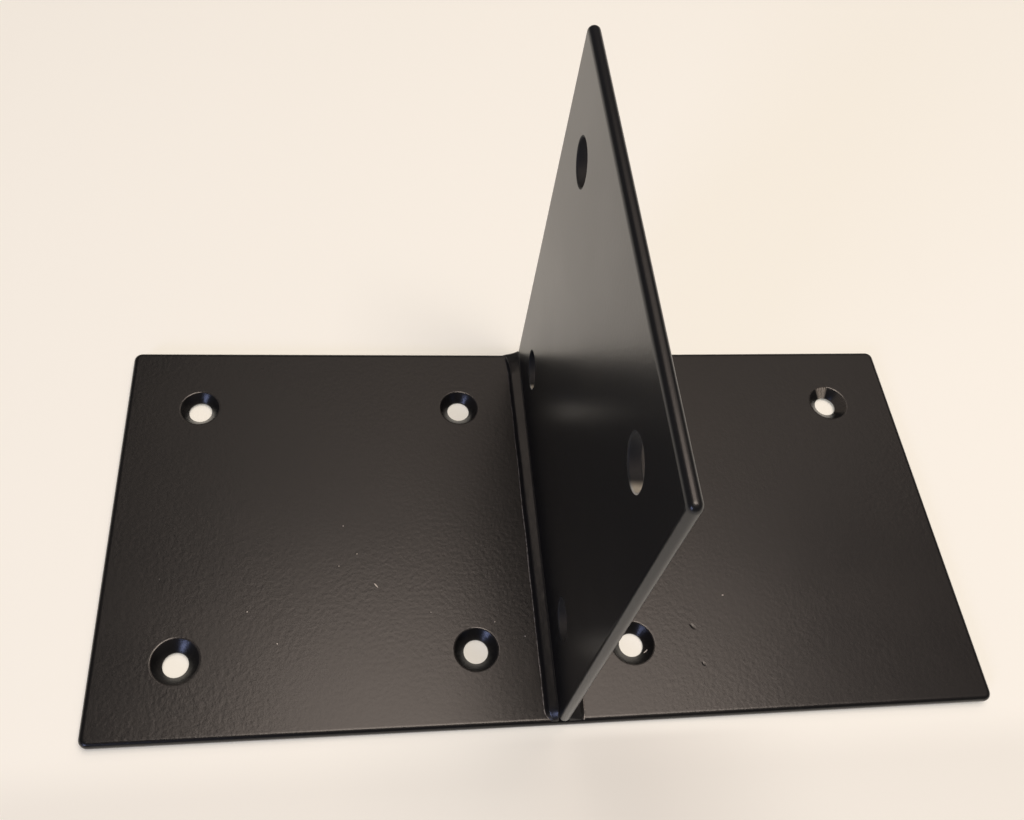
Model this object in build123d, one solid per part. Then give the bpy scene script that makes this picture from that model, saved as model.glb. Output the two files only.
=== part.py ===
from build123d import *
import os
from math import pi, radians, sin, tan

# A welded steel T-plate: a flat base plate with a square upright standing across its middle,
# held by a fillet weld along each side of the upright's foot. The base takes countersunk
# screws and the upright takes plain bolts.
# Frame: origin at the centre of the base's underside, +X along the base, +Z up the upright.

# Driving dimensions, in millimetres
strip_width = 98.0        # width along Y of the strip that both plates are cut from
base_length = 200.0
base_thickness = 2.5
base_corner_radius = 2.0
upright_height = 101.5    # above the base's top face
upright_thickness = 2.5
upright_corner_radius = 1.5
edge_round = 1.2          # tumbled edges of both plates

screw_hole_d = 5.5        # countersunk holes in the base
screw_sink_d = 9.8
screw_sink_angle = 90.0
screw_rim_break = 0.3     # width of the softened rim around a countersink
screw_pitch_x = 64.5
screw_pitch_y = 64.0
screw_end_margin = 17.6   # from the end of the base to the outer holes

bolt_hole_d = 9.0         # plain holes in the upright
bolt_rim_break = 0.35     # chamfer around each hole, on both faces
bolt_pitch_y = 64.0
bolt_pitch_z = 67.0
bolt_mid_height = 50.25   # middle of the bolt holes' pattern above the base's top face

weld_leg_base = 3.0       # how far a bead reaches over the base
weld_leg_upright = 2.0    # how far it climbs the upright
weld_crown = 0.6          # bulge of a bead's face past the straight line between its toes
weld_end_gap = 0.7        # bare stretch between a bead's end and the edge of the strip
weld_end_round = 0.8      # radius that rounds a bead's ends over
weld_waver = 0.06         # share by which the legs swell and shrink along the run
weld_waves = 2.5          # swells along one bead
weld_sections = 11        # sections along one bead

# Places that follow from them
base_top = base_thickness
half_length = base_length / 2
half_width = strip_width / 2
screw_outer_x = half_length - screw_end_margin
screw_inner_x = screw_outer_x - screw_pitch_x
screw_y = screw_pitch_y / 2
bolt_y = bolt_pitch_y / 2
bolt_mid_z = base_top + bolt_mid_height


def break_edges(edges, wanted, wall):
    """Round edges by the wanted radius, or by what the wall has room for."""
    return fillet(edges, min(wanted, 0.48 * wall))


def edge_radius(corner_radius):
    """The tumbled edges' radius on a plate, kept below the radius of its corners."""
    return min(edge_round, 0.9 * corner_radius)


def make_screw_cutter():
    """A countersunk hole's cutter: a shank, a cone, and a softened rim at half the cone's slope."""
    half_angle = radians(screw_sink_angle / 2)
    hole_r = screw_hole_d / 2
    sink_r = screw_sink_d / 2
    rim_r = sink_r + screw_rim_break
    cone_top = base_top - screw_rim_break * tan((pi / 2 - half_angle) / 2)
    cone_foot = cone_top - (sink_r - hole_r) / tan(half_angle)
    over = base_thickness
    profile = Polyline(
        (0, -over),
        (hole_r, -over),
        (hole_r, cone_foot),
        (sink_r, cone_top),
        (rim_r, base_top),
        (rim_r, base_top + over),
        (0, base_top + over),
        close=True,
    )
    return revolve(Plane.XZ * make_face(profile), Axis.Z)


def screw_places():
    """Screw holes: a full rectangle on the left wing, one diagonal of it on the right wing."""
    left = [(-x, y) for x in (screw_outer_x, screw_inner_x) for y in (-screw_y, screw_y)]
    right = [(screw_outer_x, screw_y), (screw_inner_x, -screw_y)]
    return left + right


def make_base():
    plate = extrude(RectangleRounded(base_length, strip_width, base_corner_radius), base_thickness)
    rim = plate.faces().sort_by(Axis.Z)[-1].edges() + plate.faces().sort_by(Axis.Z)[0].edges()
    plate = break_edges(rim, edge_radius(base_corner_radius), base_thickness)
    cutter = make_screw_cutter()
    for x, y in screw_places():
        plate -= Pos(x, y, 0) * cutter
    return plate


def make_bolt_cutter():
    """A plain hole's cutter along X, with a chamfer at each face of the upright."""
    hole_r = bolt_hole_d / 2
    rim_r = hole_r + bolt_rim_break
    face_x = upright_thickness / 2
    over = upright_thickness
    profile = Polyline(
        (-over, 0),
        (-over, rim_r),
        (-face_x, rim_r),
        (-face_x + bolt_rim_break, hole_r),
        (face_x - bolt_rim_break, hole_r),
        (face_x, rim_r),
        (over, rim_r),
        (over, 0),
        close=True,
    )
    return revolve(Plane.XY * make_face(profile), Axis.X)


def make_upright():
    outline = Pos(0, base_top + upright_height / 2) * Rectangle(strip_width, upright_height)
    outline = fillet(outline.vertices().sort_by(Axis.Y)[-2:], upright_corner_radius)
    plate = extrude(Plane.YZ * outline, upright_thickness / 2, both=True)
    rim = [
        edge
        for face in (plate.faces().sort_by(Axis.X)[0], plate.faces().sort_by(Axis.X)[-1])
        for edge in face.edges()
        if edge.center().Z > base_top + 0.01
    ]
    plate = break_edges(rim, edge_radius(upright_corner_radius), upright_thickness)
    cutter = make_bolt_cutter()
    for y in (-bolt_y, bolt_y):
        for z in (bolt_mid_z - bolt_pitch_z / 2, bolt_mid_z + bolt_pitch_z / 2):
            plate -= Pos(0, y, z) * cutter
    return plate


def bead_section(y, share):
    """A convex fillet's section at y: toes on both plates, and a root sunk behind them."""
    leg_b = weld_leg_base * share
    leg_u = weld_leg_upright * share
    sunk = 0.5
    slope = (leg_b**2 + leg_u**2) ** 0.5
    crown = (
        leg_b / 2 + weld_crown * share * leg_u / slope,
        leg_u / 2 + weld_crown * share * leg_b / slope,
    )
    lines = Polyline((0, leg_u), (-sunk, leg_u), (-sunk, -sunk), (leg_b, -sunk), (leg_b, 0))
    face_line = ThreePointArc((leg_b, 0), crown, (0, leg_u))
    plane = Plane(origin=(0, y, 0), x_dir=(1, 0, 0), z_dir=(0, -1, 0))
    return plane * make_face(lines + face_line)


def make_bead(side):
    """The fillet weld along one side of the upright's foot; side is -1 or +1 along X."""
    reach = half_width - weld_end_gap
    sections = []
    for i in range(weld_sections):
        t = i / (weld_sections - 1)
        share = 1 + weld_waver * sin(2 * pi * weld_waves * t + side)
        sections.append(bead_section(-reach + 2 * reach * t, share))
    size = 4 * (weld_leg_base + weld_leg_upright)
    corner = Box(size, strip_width, size, align=(Align.MIN, Align.CENTER, Align.MIN))
    bead = loft(sections) & corner
    end_faces = bead.faces().sort_by(Axis.Y)[0], bead.faces().sort_by(Axis.Y)[-1]
    end_arcs = [face.edges().sort_by(Edge.length.fget)[-1] for face in end_faces]
    bead = break_edges(end_arcs, weld_end_round, weld_leg_upright)
    if side < 0:
        bead = mirror(bead, Plane.YZ)
    return Pos(side * upright_thickness / 2, 0, base_top) * bead


os.makedirs("parts", exist_ok=True)
export_step(make_base(), "parts/base_plate.step")
export_step(make_upright(), "parts/upright_plate.step")
export_step(make_bead(-1), "parts/weld_bead_left.step")
export_step(make_bead(1), "parts/weld_bead_right.step")
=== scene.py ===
import math

import bmesh
import bpy
from mathutils import Matrix, Vector, noise


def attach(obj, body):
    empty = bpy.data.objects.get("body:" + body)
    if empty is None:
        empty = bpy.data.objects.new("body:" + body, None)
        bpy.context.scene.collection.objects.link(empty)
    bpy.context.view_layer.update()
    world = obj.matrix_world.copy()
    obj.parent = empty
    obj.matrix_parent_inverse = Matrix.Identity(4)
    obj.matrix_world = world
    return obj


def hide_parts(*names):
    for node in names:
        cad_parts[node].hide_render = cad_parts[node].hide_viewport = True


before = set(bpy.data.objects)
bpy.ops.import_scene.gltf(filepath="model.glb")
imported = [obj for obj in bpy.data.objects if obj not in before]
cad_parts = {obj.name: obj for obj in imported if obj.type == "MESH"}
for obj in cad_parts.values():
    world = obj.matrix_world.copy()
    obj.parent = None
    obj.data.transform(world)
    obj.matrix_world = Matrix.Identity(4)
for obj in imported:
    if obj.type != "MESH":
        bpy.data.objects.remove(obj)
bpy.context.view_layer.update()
print("frame loaded:", ", ".join(sorted(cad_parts)))

mm = 0.001
touch = 0.01 * mm                 # closer than this counts as the same place


class Signal:
    # wraps one output socket, so that masks can be written as sums
    def __init__(self, look, socket):
        self.look = look
        self.socket = socket

    def __add__(self, other):
        return self.look.math("ADD", self, other)

    def __sub__(self, other):
        return self.look.math("SUBTRACT", self, other)

    def __rsub__(self, other):
        return self.look.math("SUBTRACT", other, self)

    def __mul__(self, other):
        return self.look.math("MULTIPLY", self, other)

    def __truediv__(self, other):
        return self.look.math("DIVIDE", self, other)

    def __rtruediv__(self, other):
        return self.look.math("DIVIDE", other, self)

    __radd__ = __add__
    __rmul__ = __mul__

    def size(self):
        return self.look.math("ABSOLUTE", self)

    def above(self, edge):
        return self.look.math("GREATER_THAN", self, edge)

    def top(self, other):
        return self.look.math("MAXIMUM", self, other)

    def ramp(self, start, end, low=0.0, high=1.0):
        sockets = {"Value": self, "From Min": start, "From Max": end, "To Min": low, "To Max": high}
        return self.look.node("ShaderNodeMapRange", {"interpolation_type": "SMOOTHSTEP"}, sockets)


class Look:
    # one material or world, with its nodes added by a single method
    def __init__(self, owner, shader, coordinates="Object"):
        owner.use_nodes = True
        self.owner = owner
        self.tree = owner.node_tree
        self.shader = self.tree.nodes[shader]
        self.place = self.node("ShaderNodeTexCoord", output=coordinates)

    def plug(self, value, socket):
        if isinstance(value, Signal):
            self.tree.links.new(value.socket, socket)
        else:
            socket.default_value = value

    def node(self, kind, settings=None, sockets=None, output=0):
        made = self.tree.nodes.new(kind)
        for name, value in (settings or {}).items():
            setattr(made, name, value)
        for name, value in (sockets or {}).items():
            self.plug(value, made.inputs[name])
        return Signal(self, made.outputs[output])

    def axis(self, which):
        return self.node("ShaderNodeSeparateXYZ", {}, {0: self.place}, which)

    def math(self, operation, first, second=0.0):
        return self.node("ShaderNodeMath", {"operation": operation}, {0: first, 1: second})

    def length(self, across, along):
        return self.math("SQRT", across * across + along * along)

    def noise(self, size, detail, roughness, seed):
        moved = self.node("ShaderNodeMapping", {}, {"Vector": self.place, "Location": (seed, seed, seed)})
        sockets = {"Vector": moved, "Scale": 1 / size, "Detail": detail, "Roughness": roughness}
        return self.node("ShaderNodeTexNoise", {}, sockets)

    def blend(self, share, first, second):
        return self.node("ShaderNodeMix", {"data_type": "RGBA"}, {0: share, 6: first, 7: second}, 2)

    def finish(self, **sockets):
        for name, value in sockets.items():
            self.plug(value, self.shader.inputs[name.replace("_", " ")])
        return self.owner


# a noise is given as size, detail, roughness and seed, and a range as start, end, low and high
coating = {
    "colour": {
        "base": (0.0040, 0.0044, 0.0052, 1),
        # the upright's coat is the base's coat made lighter and bluer, painted light that lifts the shade
        # near the joint
        "upright": (0.0062, 0.0070, 0.0090, 1),
        "bead": (0.015, 0.0148, 0.015, 1),
    },
    "dusty": (0.0075, 0.0073, 0.0074, 1),
    "film": (45 * mm, 3.0, 0.55, 3.1),          # thin film of dust
    "filmRange": (0.35, 0.7),
    "filmShare": {"base": 0.6, "upright": 0.5, "bead": 0.5},
    "roughness": 0.29,
    "roughnessSpread": 0.03,      # by how much the film changes it
    "peel": (0.95 * mm, 3.0, 0.5, 7.7),         # orange peel of the sprayed powder
    "peelHeight": 0.035 * mm,
    "peelShare": {"base": 1.0, "upright": 0.3, "bead": 0.6},
    "uneven": (38 * mm, 2.0, 0.5, 2.2),         # where the peel is stronger and weaker
    "unevenRange": (0.35, 0.65, 0.55, 1.25),
    # specks of dust: size of a cell, radius, and share of the cells that hold one
    "specks": {"base": (17 * mm, 0.14 * mm, 0.45), "upright": (17 * mm, 0.14 * mm, 0.45),
               "bead": (3.2 * mm, 0.13 * mm, 0.5)},
    "speckCore": 0.55,            # share of a speck's radius that is solid
    "speckColour": (0.62, 0.60, 0.56, 1),
    "beadSpecks": (-40 * mm, -20 * mm),         # they start on the bead between these places along it
}

marks = {
    # light marks on the base: place, half length and half width, in millimetres, and heading in degrees
    "places": (
        (-39.7, -16.2, 0.75, 0.11, -52), (20.9, -33.7, 0.55, 0.12, 35), (41.3, -21.5, 0.25, 0.12, 0),
        (-61.2, -29.0, 0.13, 0.13, 0), (-44.0, -8.3, 0.12, 0.12, 0), (-48.1, -11.2, 0.11, 0.11, 0),
        (-68.0, -21.5, 0.12, 0.12, 0), (-47.2, -1.1, 0.11, 0.11, 0), (-13.2, -25.8, 0.11, 0.11, 0),
        (-27.5, -23.0, 0.15, 0.11, 20), (-6.6, -29.4, 0.12, 0.12, 0),
    ),
    "edge": (1.2, 0.7),           # shares of a mark's size between which it comes up
}

bores = {
    "radius": 4.95 * mm,          # just past the holes' rounded rims on the left face
    "edge": 0.06 * mm,
    "across": 32 * mm,
    "middle": 52.75 * mm,         # height of the middle of the four holes
    "up": 33.5 * mm,
    "roughness": 0.72,            # punched walls
    # painted highlights, pale spots in the walls of two holes: across, up and radius, in millimetres, and
    # strength
    "glintSpots": ((-35.4, 83.2, 3.4, 1.0), (28.9, 15.6, 2.1, 0.7)),
    "glintCore": 0.3,              # share of a spot's radius that has its full strength
    "glintColour": (0.52, 0.50, 0.43, 1),
}

coneGlint = {
    "hole": (82.35 * mm, 32.0 * mm),            # the cone that gets a painted warm glint, in streaks
    "colour": (0.34, 0.32, 0.28, 1),
    "outer": (5.2 * mm, 4.9 * mm),              # distances from the hole's middle between which it comes up
    "inner": (2.6 * mm, 2.9 * mm),
    "farSide": ((1.30, 1.50), (2.15, 1.85)),    # directions round the hole, in radians
    "rightSide": ((-0.9, -0.5), (0.9, 0.5)),
    "rightStrength": 0.16,
    "streaks": 61,                # radians of a streak's wave to each radian round the hole
    "wander": (0.9 * mm, 2.0, 0.5, 5.5),
    "wanderBy": 9,
    "streakRange": (-1.0, 0.8, 0.25, 1.0),
}

toeHighlight = {
    "colour": (0.22, 0.21, 0.20, 1),            # painted highlight: a light line along a bead's toe
    "breaks": (1.1 * mm, 3.0, 0.6, 8.3),
    "breaksRange": (0.38, 0.60, 0.15, 1.0),
    "forward": (30 * mm, -12 * mm, 0.25, 1.0),  # it gets stronger towards the front
}

rimsPaintedHighlight = {
    "colour": (0.030, 0.029, 0.028, 1),         # painted highlight: lighter colour on the countersinks' rims, which are also smoother
    "roughness": 0.16,
}


def specks(look, cell, radius, share):
    # small round grains, one in the given share of the cells
    sockets = {"Vector": look.place, "Scale": 1 / cell}
    spot = look.node("ShaderNodeTexVoronoi", {"feature": "F1"}, sockets)
    chosen = look.node("ShaderNodeSeparateColor", {}, {0: look.node("ShaderNodeTexVoronoi", {}, sockets, 1)})
    return spot.ramp(radius / cell, radius * coating["speckCore"] / cell) * chosen.above(1 - share)


def lightMark(look, x, y, halfLength, halfWidth, heading):
    across = look.axis(0) - x * mm
    along = look.axis(1) - y * mm
    turn = math.radians(heading)
    far = look.length((across * math.cos(turn) + along * math.sin(turn)) / (halfLength * mm),
                      (along * math.cos(turn) - across * math.sin(turn)) / (halfWidth * mm))
    return far.ramp(*marks["edge"])


def boreWall(look):
    across = look.axis(1).size() - bores["across"]
    up = (look.axis(2) - bores["middle"]).size() - bores["up"]
    return look.length(across, up).ramp(bores["radius"], bores["radius"] - bores["edge"])


def paintedBoreGlints(look):
    glintSpots = 0.0
    for across, up, radius, strength in bores["glintSpots"]:
        far = look.length(look.axis(1) - across * mm, look.axis(2) - up * mm)
        glintSpots = far.ramp(radius * mm, radius * bores["glintCore"] * mm) * strength + glintSpots
    return glintSpots * boreWall(look)


def between(turned, side):
    start, end = side
    return turned.ramp(*start) * turned.ramp(*end)


def paintedGlintOnCone(look):
    # painted highlight: pale streaks that run down one cone, on its far and right sides, standing in for a
    # warm glint
    across = look.axis(0) - coneGlint["hole"][0]
    along = look.axis(1) - coneGlint["hole"][1]
    far = look.length(across, along)
    turned = look.math("ARCTAN2", along, across)
    sides = between(turned, coneGlint["farSide"]) + between(turned, coneGlint["rightSide"]) * coneGlint["rightStrength"]
    wander = look.noise(*coneGlint["wander"]) * coneGlint["wanderBy"]
    streaks = look.math("SINE", turned * coneGlint["streaks"] + wander).ramp(*coneGlint["streakRange"])
    cone = far.ramp(*coneGlint["outer"]) * far.ramp(*coneGlint["inner"])
    return cone * streaks * sides


def coatedSteel(name, part):
    look = Look(bpy.data.materials.new(name), "Principled BSDF")
    film = look.noise(*coating["film"]).ramp(*coating["filmRange"])
    colour = look.blend(film * coating["filmShare"][part], coating["colour"][part], coating["dusty"])
    spread = coating["roughnessSpread"]
    roughness = film * spread + (coating["roughness"] - spread / 2)
    grains = specks(look, *coating["specks"][part])
    if part == "upright":
        roughness = roughness + boreWall(look) * (bores["roughness"] - coating["roughness"])
        # painted highlights in two bore walls
        colour = look.blend(paintedBoreGlints(look), colour, bores["glintColour"])
    if part == "bead":
        # painted highlight along the toe, broken up and stronger towards the front
        lip = look.node("ShaderNodeAttribute", {"attribute_name": "toeHighlight"}, output="Fac")
        broken = look.noise(*toeHighlight["breaks"]).ramp(*toeHighlight["breaksRange"])
        forward = look.axis(1).ramp(*toeHighlight["forward"])
        colour = look.blend(lip * broken * forward, colour, toeHighlight["colour"])
        grains = grains * look.axis(1).ramp(*coating["beadSpecks"])
    if part == "base":
        rim = look.node("ShaderNodeAttribute", {"attribute_name": "rim"}, output="Fac")
        # the rims get a lighter colour, a painted highlight, and a lower roughness
        colour = look.blend(rim, colour, rimsPaintedHighlight["colour"])
        roughness = roughness - rim * (coating["roughness"] - rimsPaintedHighlight["roughness"])
        # a painted warm glint in one cone
        colour = look.blend(paintedGlintOnCone(look), colour, coneGlint["colour"])
        for mark in marks["places"]:
            grains = grains.top(lightMark(look, *mark))
    colour = look.blend(grains, colour, coating["speckColour"])
    peel = look.noise(*coating["peel"]) * look.noise(*coating["uneven"]).ramp(*coating["unevenRange"])
    height = peel * coating["peelShare"][part] + grains
    sockets = {"Strength": 1.0, "Distance": coating["peelHeight"], "Height": height}
    bump = look.node("ShaderNodeBump", {}, sockets)
    return look.finish(Base_Color=colour, Roughness=roughness, Normal=bump)


def addPiece(bm, name, material, node):
    if bm.calc_volume(signed=True) < 0:         # the faces point inwards, which recalculating can get wrong
        bmesh.ops.reverse_faces(bm, faces=bm.faces)
    for face in bm.faces:
        face.smooth = True
    mesh = bpy.data.meshes.new(name)
    bm.to_mesh(mesh)
    bm.free()
    piece = bpy.data.objects.new(name, mesh)
    bpy.context.scene.collection.objects.link(piece)
    mesh.materials.append(material)
    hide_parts(node)
    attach(piece, "root")


sheet = {
    "thickness": 2.5 * mm,
    "edgeRound": 1.2 * mm,
    "edgeSteps": 9,
    "cornerSteps": 8,
    "band": 0.15 * mm,            # narrow flat beside each rounding, which keeps the flat's shading clean
    "circleSteps": 72,
    "holeReach": 8 * mm,          # an edge nearer than this to a hole's middle belongs to the hole
    "sharpAngle": 0.6,            # an edge that folds by more than this, in radians, is sharp
}

base = {
    "size": (200 * mm, 98 * mm),
    "corner": 2.0 * mm,
    "boreRadius": 2.75 * mm,
    "land": 0.42 * mm,            # straight part of a bore under its cone
    "rimRound": 0.22 * mm,
    "rimSteps": 5,
    "footRound": 0.10 * mm,
    "footSteps": 2,
    "footBelow": -0.3 * mm,       # a hole's edges below this height are its lower ones
    # a countersunk hole's place, its cone's radius, and how far its bore sits off the cone, in millimetres
    "holes": (
        (-82.45, 32.0, 4.72, -0.15, 0.05), (-18.00, 31.8, 4.88, -0.05, 0.12),
        (-82.35, -32.0, 5.16, -0.22, -0.15), (-17.80, -32.0, 4.96, 0.05, 0.15),
        (82.35, 32.0, 5.14, 0.0, 0.15), (17.88, -32.0, 5.02, 0.08, 0.18),
    ),
    "bendFrom": 1.0 * mm,         # the weld has drawn both wings up by half a degree
    "bend": 0.0084,
    # small dents in the top: place, half length, half width, heading in degrees and depth
    "dents": ((32.6, -28.8, 0.85, 0.45, -50, 0.14), (33.5, -37.6, 0.60, 0.38, -55, 0.11)),
    "dentSpread": 1.2,            # how far a dent's slope runs out past its half length and half width
    "dentPatch": 1.5,             # and how far the finer mesh under it does
    "dentSteps": 24,
    "dentRings": (0.87, 0.85, 0.82, 0.78, 0.70, 0.55),   # each ring's share of the one outside it
}

upright = {
    "size": (98 * mm, 101.55 * mm),
    "corner": 1.5 * mm,
    "footCorner": 2.0 * mm,       # the weld has eaten into the foot
    "boreRadius": 4.5 * mm,
    "rimRound": 0.38 * mm,
    "rimSteps": 5,
    "flare": 0.20 * mm,           # how much wider the punched holes break out on the right face
    "sunk": 0.05 * mm,            # foot sunk into the base
    # across, and up from the base's top, in millimetres
    "holes": ((-32, 16.75), (32, 16.75), (-32, 83.75), (32, 83.75)),
}


def only(kind, geom):
    return [item for item in geom if isinstance(item, kind)]


def extrudeLoop(bm, edges):
    # a copy of a loop of edges, joined to it by faces; returns the copy's vertices and edges
    made = bmesh.ops.extrude_edge_only(bm, edges=edges)["geom"]
    verts = only(bmesh.types.BMVert, made)
    loop = [edge for edge in only(bmesh.types.BMEdge, made) if all(vert in verts for vert in edge.verts)]
    return verts, loop


def outlineBand(bm, width, height, radii):
    # a rounded rectangle reduced to the flat band round it; returns the band's inner edges
    bmesh.ops.create_grid(bm, x_segments=1, y_segments=1, size=0.5)
    bmesh.ops.scale(bm, verts=bm.verts, vec=(width, height, 1))
    for corner in list(bm.verts):
        radius = radii[0] if corner.co.y < 0 else radii[1]
        bmesh.ops.bevel(bm, geom=[corner], offset=radius, offset_type="OFFSET", segments=sheet["cornerSteps"],
                        profile=0.5, affect="VERTICES", material=-1)
    bm.faces.ensure_lookup_table()
    face = bm.faces[0]
    bmesh.ops.inset_region(bm, faces=[face], thickness=sheet["edgeRound"] + sheet["band"], depth=0.0,
                           use_boundary=True, use_even_offset=True)
    inner = list(face.edges)
    bmesh.ops.delete(bm, geom=[face], context="FACES_ONLY")
    return inner


def holeBand(bm, x, y, radius, rimRound):
    # a narrow flat ring round a hole; returns its outer edges
    place = Matrix.Translation((x, y, 0))
    wide = radius + rimRound + sheet["band"]
    circle = bmesh.ops.create_circle(bm, segments=sheet["circleSteps"], radius=wide, matrix=place)["verts"]
    outer = list({edge for vert in circle for edge in vert.link_edges})
    verts, _ = extrudeLoop(bm, outer)
    bmesh.ops.scale(bm, verts=verts, vec=(radius / wide, radius / wide, 1), space=place.inverted())
    return outer


def dentPatch(bm, x, y, halfLength, halfWidth, heading):
    # a small oval of rings that can be pressed in; returns its outer edges
    place = Matrix.Translation((x, y, 0)) @ Matrix.Rotation(math.radians(heading), 4, "Z")
    circle = bmesh.ops.create_circle(bm, segments=base["dentSteps"], radius=1.0)["verts"]
    stretch = Matrix.Diagonal((halfLength * base["dentPatch"], halfWidth * base["dentPatch"], 1, 1))
    bmesh.ops.transform(bm, matrix=place @ stretch, verts=circle)
    outer = loop = list({edge for vert in circle for edge in vert.link_edges})
    for share in base["dentRings"]:
        verts, loop = extrudeLoop(bm, loop)
        bmesh.ops.scale(bm, verts=verts, vec=(share, share, 1), space=Matrix.Translation((-x, -y, 0)))
    middle = bmesh.ops.contextual_create(bm, geom=loop)["faces"]
    bmesh.ops.poke(bm, faces=middle)
    return outer


def punchedSheet(width, height, radii, holes, rimRound, dents=()):
    # a flat sheet with holes and pressable patches, from z = 0 down to its thickness
    bm = bmesh.new()
    edges = outlineBand(bm, width, height, radii)
    for x, y, radius in holes:
        edges += holeBand(bm, x, y, radius, rimRound)
    for x, y, halfLength, halfWidth, heading, depth in dents:
        edges += dentPatch(bm, x * mm, y * mm, halfLength * mm, halfWidth * mm, heading)
    bmesh.ops.triangle_fill(bm, use_beauty=True, use_dissolve=False, edges=edges, normal=(0, 0, 1))
    made = bmesh.ops.extrude_face_region(bm, geom=bm.faces[:])["geom"]
    bmesh.ops.translate(bm, verts=only(bmesh.types.BMVert, made), vec=(0, 0, -sheet["thickness"]))
    bmesh.ops.recalc_face_normals(bm, faces=bm.faces)
    return bm


def farFromHoles(edge, holes):
    middle = (edge.verts[0].co + edge.verts[1].co) / 2
    return all(math.hypot(middle.x - x, middle.y - y) > sheet["holeReach"] for x, y, _ in holes)


def sharpEdges(bm):
    closed = [edge for edge in bm.edges if len(edge.link_faces) == 2]
    return [edge for edge in closed if edge.calc_face_angle() > sheet["sharpAngle"]]


def roundEdges(bm, edges, radius, steps, mark=None):
    # the mark is a layer that is set to 1 inside the rounding
    made = bmesh.ops.bevel(bm, geom=edges, offset=radius, offset_type="OFFSET", segments=steps, profile=0.5,
                           affect="EDGES", material=-1, clamp_overlap=True)
    if mark:
        rounding = set(made["faces"])
        for vert in made["verts"]:
            vert[mark] = 1.0 if set(vert.link_faces) <= rounding else 0.0


def sinkHole(bm, x, y, radius, offX, offY):
    # draws the lower end of a hole in to the bore and breaks the wall where the cone ends
    place = Matrix.Translation((x, y, 0)).inverted()
    depth = sheet["thickness"]
    near = [vert for vert in bm.verts if math.hypot(vert.co.x - x, vert.co.y - y) < radius + touch]
    foot = [vert for vert in near if vert.co.z < -depth / 2]
    share = base["boreRadius"] / radius
    walls = [edge for edge in bm.edges if set(edge.verts) <= set(near) and edge.calc_length() > depth * 0.9]
    bmesh.ops.scale(bm, verts=foot, vec=(share, share, 1), space=place)
    bmesh.ops.translate(bm, verts=foot, vec=(offX, offY, 0))
    split = only(bmesh.types.BMVert, bmesh.ops.subdivide_edges(bm, edges=walls, cuts=1)["geom_inner"])
    for vert in split:
        flat = Vector((vert.co.x - x, vert.co.y - y, 0)).normalized() * base["boreRadius"]
        vert.co = Vector((x + offX + flat.x, y + offY + flat.y, base["land"] - depth))


def bodyOfBase():
    sinks = [[value * mm for value in hole] for hole in base["holes"]]
    holes = [hole[:3] for hole in sinks]
    radii = (base["corner"], base["corner"])
    bm = punchedSheet(*base["size"], radii, holes, base["rimRound"], base["dents"])
    outline = [edge for edge in sharpEdges(bm) if len({round(vert.co.z, 6) for vert in edge.verts}) == 1]
    roundEdges(bm, [edge for edge in outline if farFromHoles(edge, holes)],
               sheet["edgeRound"], sheet["edgeSteps"])
    for sink in sinks:
        sinkHole(bm, *sink)
    edges = [edge for edge in sharpEdges(bm) if not farFromHoles(edge, holes)]
    upper = [edge for edge in edges if edge.verts[0].co.z > -touch]
    roundEdges(bm, upper, base["rimRound"], base["rimSteps"], bm.verts.layers.float.new("rim"))
    edges = [edge for edge in sharpEdges(bm) if not farFromHoles(edge, holes)]
    lower = [edge for edge in edges if edge.verts[0].co.z < base["footBelow"]]
    roundEdges(bm, lower, base["footRound"], base["footSteps"])
    for x, y, halfLength, halfWidth, heading, depth in base["dents"]:
        turn = Matrix.Rotation(math.radians(-heading), 4, "Z") @ Matrix.Translation((-x * mm, -y * mm, 0))
        for vert in bm.verts:
            if vert.co.z > -touch:
                along, sideways, _ = turn @ vert.co
                far = math.hypot(along / (halfLength * mm), sideways / (halfWidth * mm)) / base["dentSpread"]
                vert.co.z -= depth * mm * max(0.0, 1 - far * far) ** 2
    for place in (-base["bendFrom"], base["bendFrom"]):
        cut = bmesh.ops.bisect_plane(bm, geom=bm.verts[:] + bm.edges[:] + bm.faces[:], plane_co=(place, 0, 0),
                                     plane_no=(1, 0, 0))["geom_cut"]
        for edge in only(bmesh.types.BMEdge, cut):
            edge.smooth = False                  # a fold, so that it does not tilt the shading of the wings
    bmesh.ops.translate(bm, verts=bm.verts, vec=(0, 0, sheet["thickness"]))
    for vert in bm.verts:
        vert.co.z += base["bend"] * max(0.0, abs(vert.co.x) - base["bendFrom"])
    return bm


def bodyOfUpright():
    width, height = upright["size"]
    top = sheet["thickness"] - upright["sunk"]
    foot = upright["sunk"] - height / 2
    holes = [(x * mm, y * mm + foot, upright["boreRadius"]) for x, y in upright["holes"]]
    radii = (upright["footCorner"], upright["corner"])
    bm = punchedSheet(width, height, radii, holes, upright["rimRound"] + upright["flare"])
    for x, y, radius in holes:
        share = 1 + upright["flare"] / radius
        verts = [vert for vert in bm.verts if vert.co.z > -touch
                 and math.hypot(vert.co.x - x, vert.co.y - y) < radius + touch]
        bmesh.ops.scale(bm, verts=verts, vec=(share, share, 1), space=Matrix.Translation((-x, -y, 0)))
    outline = [edge for edge in sharpEdges(bm) if farFromHoles(edge, holes)]
    outline = [edge for edge in outline if max(vert.co.y for vert in edge.verts) > touch - height / 2]
    outline = [edge for edge in outline if abs(edge.verts[0].co.z - edge.verts[1].co.z) < touch]
    roundEdges(bm, outline, sheet["edgeRound"], sheet["edgeSteps"])
    roundEdges(bm, [edge for edge in sharpEdges(bm) if not farFromHoles(edge, holes)],
               upright["rimRound"], upright["rimSteps"])
    stand = Matrix(((0, 0, 1, 0), (1, 0, 0, 0), (0, 1, 0, 0), (0, 0, 0, 1)))
    shift = Matrix.Translation((sheet["thickness"] / 2, 0, height / 2 + top))
    bmesh.ops.transform(bm, matrix=shift @ stand, verts=bm.verts)
    return bm


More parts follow.
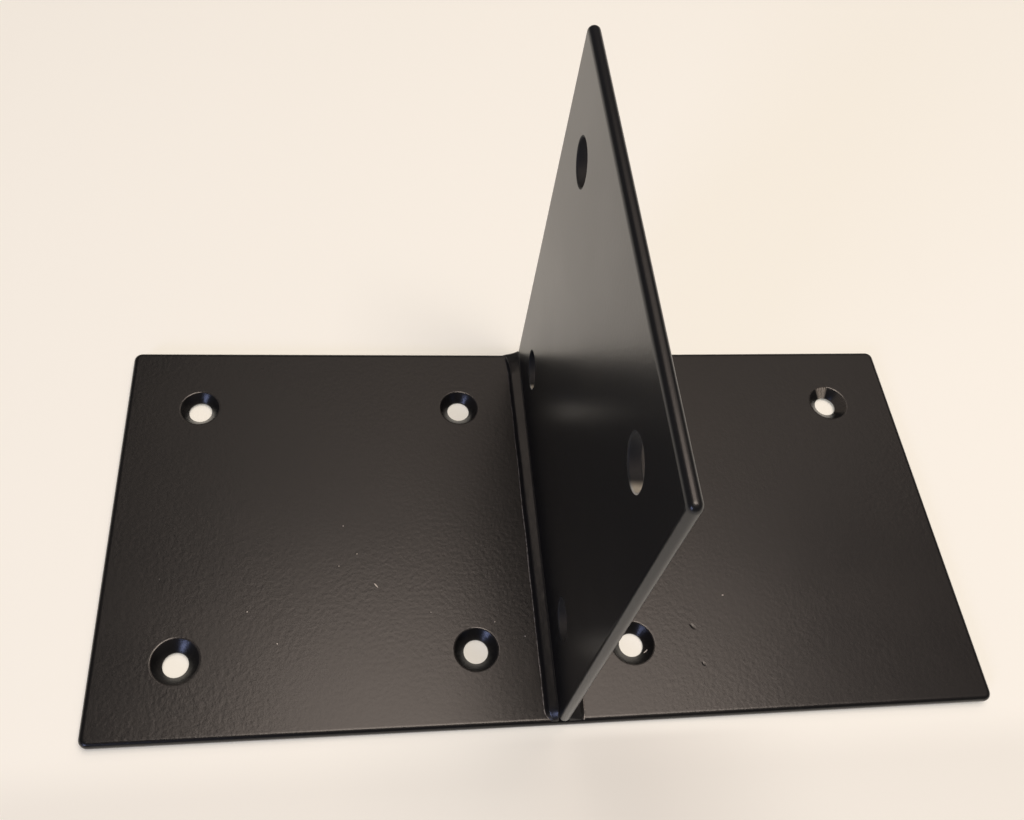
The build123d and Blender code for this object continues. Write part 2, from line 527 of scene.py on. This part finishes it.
addPiece(bodyOfBase(), "basePlate", coatedSteel("coatedBase", "base"), "base_plate")
print("base plate made")
uprightCoat = coatedSteel("coatedUpright", "upright")
addPiece(bodyOfUpright(), "uprightPlate", uprightCoat, "upright_plate")
print("upright plate made")

bead = {
    "plateFace": 1.25 * mm,       # half the upright's thickness
    "seat": 2.5 * mm,             # the base's top face
    "reach": 48.55 * mm,          # half its run
    "step": 0.4 * mm,
    # distance from the upright's face and height of each point of the section, at the back and front ends
    "back": (
        (0.00, 2.40), (0.05, 2.28), (0.14, 2.22), (0.40, 2.18), (0.80, 2.12), (1.20, 2.06), (1.60, 2.00),
        (2.00, 1.94), (2.40, 1.88), (2.58, 1.84), (2.68, 1.75), (2.73, 1.58), (2.77, 1.38), (2.81, 1.10),
        (2.85, 0.80), (2.89, 0.52), (2.94, 0.27), (2.99, 0.09), (3.05, 0.025), (3.17, 0.02), (3.22, 0.0),
    ),
    "front": (
        (0.00, 2.30), (0.05, 2.16), (0.14, 2.07), (0.36, 1.99), (0.62, 1.90), (0.88, 1.81), (1.12, 1.72),
        (1.36, 1.63), (1.60, 1.54), (1.80, 1.46), (1.91, 1.36), (1.98, 1.18), (2.06, 0.96), (2.16, 0.74),
        (2.27, 0.52), (2.39, 0.31), (2.50, 0.15), (2.60, 0.05), (2.66, 0.025), (2.78, 0.02), (2.83, 0.0),
    ),
    "root": ((2.8, -0.04), (-0.04, -0.04), (-0.04, 2.25)),      # sunk a little into both plates
    "lip": (18, 19, 20),          # points of the section that make the thin lip at the toe
    "outerAt": 3.0 * mm,          # distance from the upright that counts as the outer side
    "rightWidth": 1.32,           # the right bead is laid wider
    "seeds": {-1: 11.3, 1: 47.9},
    "waver": 0.10 * mm,           # slow wandering of the toe
    "waverLength": 9 * mm,
    "swell": 0.04,                # share by which the height follows it
    "jag": 0.06 * mm,             # fine wandering of the toe
    "jagWaves": ((1.6 * mm, 4.0, 1.0), (0.8 * mm, 9.0, 0.6)),   # length, seed and share
    "ripple": 0.025 * mm,         # unevenness of the top
    "rippleSize": (1.1 * mm, 1.4 * mm),
    "rippleFrom": 0.8 * mm,       # height from which the ripple has its full strength
    "endSlope": 3.2 * mm,         # length over which the ends sink
    "endRound": 2.6 * mm,         # length over which the toe curves in
    "endDrop": (0.84, 0.15),      # share of its height that a bead loses at the front and back ends
    "endLean": 0.75,              # how much more of its height the outer side of an end loses
    "endPower": 2.4,              # how late an end sinks and curves in
    "frontNarrow": {-1: 0.55, 1: 0.10},         # share of its width that each bead loses at the front end
    "backSpread": 7 * mm,         # length over which the toe runs out at the back end
    "backSink": 0.6,              # share of its height that the toe loses there
    "backWiden": 0.22,            # share of its distance that the toe gains there
}


def bodyOfBead(side):
    # one closed section, carried along the foot step by step; each vertex keeps its number in the section
    sections = [[(d * mm, z * mm) for d, z in bead[end] + bead["root"]] for end in ("front", "back")]
    bm = bmesh.new()
    number = bm.verts.layers.int.new("number")
    toeHighlightMask = bm.verts.layers.float.new("toeHighlight")
    bmesh.ops.create_circle(bm, segments=len(sections[0]), radius=1.0)
    for place, vert in enumerate(bm.verts):
        vert[number] = place
        vert.co = Vector((*sections[0][place], -bead["reach"])).xzy
    steps = round(2 * bead["reach"] / bead["step"])
    edges = bm.edges[:]
    bmesh.ops.contextual_create(bm, geom=edges)
    for _ in range(steps):
        verts, edges = extrudeLoop(bm, edges)
        bmesh.ops.translate(bm, verts=verts, vec=(0, 2 * bead["reach"] / steps, 0))
    bmesh.ops.contextual_create(bm, geom=edges)
    for vert in bm.verts:
        front, back = (section[vert[number]] for section in sections)
        vert.co = shapedPoint(front, back, vert.co.y, side)
        vert.co.z += base["bend"] * max(0.0, abs(vert.co.x) - base["bendFrom"])
        # marks the toe's lip, which carries the painted highlight
        vert[toeHighlightMask] = 1.0 if vert[number] in bead["lip"] else 0.0
    bmesh.ops.recalc_face_normals(bm, faces=bm.faces)
    return bm


def shapedPoint(front, back, run, side):
    # blends the two sections, lets the toe wander and the top ripple, and sinks both ends
    along = (run + bead["reach"]) / (2 * bead["reach"])          # 0 at the front end, 1 at the back
    distance = front[0] + (back[0] - front[0]) * along
    height = front[1] + (back[1] - front[1]) * along
    outward = max(0.0, min(1.0, distance / bead["outerAt"]))
    seed = bead["seeds"][side]
    slow = noise.noise((seed, run / bead["waverLength"], 0.0))
    fine = sum(share * noise.noise((seed, run / length, plane)) for length, plane, share in bead["jagWaves"])
    distance += outward * (bead["waver"] * slow + bead["jag"] * fine * outward ** 3)
    if height > 0:
        outwards, alongwards = bead["rippleSize"]
        ripple = noise.noise((seed + distance / outwards, run / alongwards, 2.0))
        height += bead["ripple"] * ripple * min(1.0, height / bead["rippleFrom"])
        height *= 1 + bead["swell"] * slow
    toEnd = bead["reach"] - abs(run)
    sink = max(0.0, 1 - toEnd / bead["endSlope"])
    narrow = max(0.0, 1 - toEnd / bead["endRound"])
    if height > 0:
        drop = bead["endDrop"][0 if run < 0 else 1]
        height *= (1 - drop * sink ** bead["endPower"]) * (1 - bead["endLean"] * sink * outward)
    if distance > 0 and run < 0:
        distance *= 1 - bead["frontNarrow"][side] * narrow ** bead["endPower"]
    if distance > 0 and side > 0:
        distance *= bead["rightWidth"]
    if height > 0 and run > 0:
        spread = max(0.0, 1 - toEnd / bead["backSpread"])
        height *= 1 - bead["backSink"] * spread * outward
        distance *= 1 + bead["backWiden"] * spread ** 2 * outward
    return Vector((side * (bead["plateFace"] + distance), run, bead["seat"] + height))


weldCoat = coatedSteel("coatedWeld", "bead")
for side, name, node in ((-1, "weldLeft", "weld_bead_left"), (1, "weldRight", "weld_bead_right")):
    addPiece(bodyOfBead(side), name, weldCoat, node)
print("weld beads laid")

floorSetup = {
    "size": 6.0,
    "colour": (0.71, 0.735, 0.71, 1),
    "roughness": 0.9,
    "specular": 0.1,
    "grain": (0.4, 2.0, 0.5, 1.0),
    "grainRange": (0.3, 0.7, 0.98, 1.0),
    "glow": (0.30, 0.285, 0.255, 1),            # light that the floor adds to what falls on it
    # in front of the object the glow is dimmed: how far out, by what share, and over what first stretch
    "shadeReach": 90 * mm,
    "shadeDepth": 0.28,
    "shadeStart": 12 * mm,
    # the upright's deeper shade: middle and half width across, share, first stretch and fading out
    "uprightMiddle": 15 * mm,
    "uprightHalfWidth": 45 * mm,
    "uprightDepth": 0.5,
    "uprightStart": 4 * mm,
    "uprightFade": (130 * mm, 30 * mm),
}


def makeFloor():
    bm = bmesh.new()
    bmesh.ops.create_grid(bm, x_segments=1, y_segments=1, size=floorSetup["size"] / 2)
    mesh = bpy.data.meshes.new("floor")
    bm.to_mesh(mesh)
    bm.free()
    floor = bpy.data.objects.new("floor", mesh)
    bpy.context.scene.collection.objects.link(floor)
    look = Look(bpy.data.materials.new("floorPaper"), "Principled BSDF")
    grain = look.noise(*floorSetup["grain"]).ramp(*floorSetup["grainRange"])
    colour = look.blend(grain, (0, 0, 0, 1), floorSetup["colour"])
    beside = (look.axis(0).size() - base["size"][0] / 2).top(0.0)
    before = (look.axis(1) * -1 - base["size"][1] / 2).top(0.0)
    around = look.length(beside, before).ramp(floorSetup["shadeReach"], 0.0, 0.0, floorSetup["shadeDepth"])
    shade = 1 - around * before.ramp(0.0, floorSetup["shadeStart"])
    near = (look.axis(0) - floorSetup["uprightMiddle"]).size().ramp(floorSetup["uprightHalfWidth"], 0.0)
    near = near * before.ramp(*floorSetup["uprightFade"])
    shade = shade * (1 - near * before.ramp(0.0, floorSetup["uprightStart"]) * floorSetup["uprightDepth"])
    glow = look.blend(shade, (0, 0, 0, 1), floorSetup["glow"])
    look.shader.inputs["Specular IOR Level"].default_value = floorSetup["specular"]
    look.shader.inputs["Emission Strength"].default_value = 1.0
    look.finish(Base_Color=colour, Roughness=floorSetup["roughness"], Emission_Color=glow)
    mesh.materials.append(look.owner)


makeFloor()

lights = {
    "softbox": {
        "place": (0.1125, 0.03, 1.0),
        "aim": (0.1125, 0.03, 0.0),
        "size": (0.635, 0.69),
        "radiance": 4.0,
        "colour": (1.0, 0.835, 0.72),
    },
    "frontStrip": {
        "place": (0.12, -0.17, 0.99),
        "aim": (0.12, -0.17, 0.0),
        "size": (0.60, 0.24),
        "radiance": 5.6,
        "colour": (1.0, 0.86, 0.74),
    },
    "ceilingBounce": {
        "place": (0.26, 0.705, 1.0),
        "aim": (0.26, 0.705, 0.0),
        "size": (1.24, 0.45),
        "radiance": 0.77,
        "colour": (1.0, 0.84, 0.71),
    },
    "window": {
        "place": (-0.89, -1.05, 0.57),
        "aim": (0.0, 0.0, 0.0),
        "size": (0.42, 0.34),
        "radiance": 9.0,
        "colour": (0.50, 0.58, 1.0),
    },
}


def makeLights():
    for name, setup in lights.items():
        data = bpy.data.lights.new(name, "AREA")
        data.shape = "RECTANGLE"
        data.size, data.size_y = setup["size"]
        data.energy = setup["radiance"] * math.pi * setup["size"][0] * setup["size"][1]
        data.color = setup["colour"]
        lamp = bpy.data.objects.new(name, data)
        lamp.location = setup["place"]
        aim = Vector(setup["aim"]) - Vector(setup["place"])
        lamp.rotation_euler = aim.to_track_quat("-Z", "Y").to_euler()
        bpy.context.scene.collection.objects.link(lamp)


room = {
    "bright": (0.31, 0.25, 0.225, 1),      # high up on the right
    "dim": (0.085, 0.078, 0.074, 1),
    "leftToRight": (-0.25, 0.15),          # sideways part of the direction where it brightens
    "lowToHigh": (0.45, 0.95),             # upward part of the direction where it brightens
}


def makeRoom():
    world = bpy.data.worlds.new("room")
    bpy.context.scene.world = world
    look = Look(world, "Background", "Generated")
    share = look.axis(0).ramp(*room["leftToRight"]) * look.axis(2).ramp(*room["lowToHigh"])
    look.finish(Color=look.blend(share, room["dim"], room["bright"]), Strength=1.0)


makeLights()
makeRoom()

eye = {
    "place": (-40.868 * mm, -99.969 * mm, 207.564 * mm),
    "turn": (32.420, -6.1007, -4.5437),      # degrees
    "lens": 33.4023,
    "shift": (0.01591, 0.00711),
    "clip": (0.01, 20),
}


def makeCamera():
    data = bpy.data.cameras.new("eye")
    data.lens = eye["lens"]
    data.shift_x, data.shift_y = eye["shift"]
    data.clip_start, data.clip_end = eye["clip"]
    camera = bpy.data.objects.new("eye", data)
    camera.location = eye["place"]
    camera.rotation_euler = [math.radians(angle) for angle in eye["turn"]]
    bpy.context.scene.collection.objects.link(camera)
    bpy.context.scene.camera = camera


makeCamera()
bpy.context.scene.view_settings.view_transform = "Standard"
print("floor, lights and camera set")
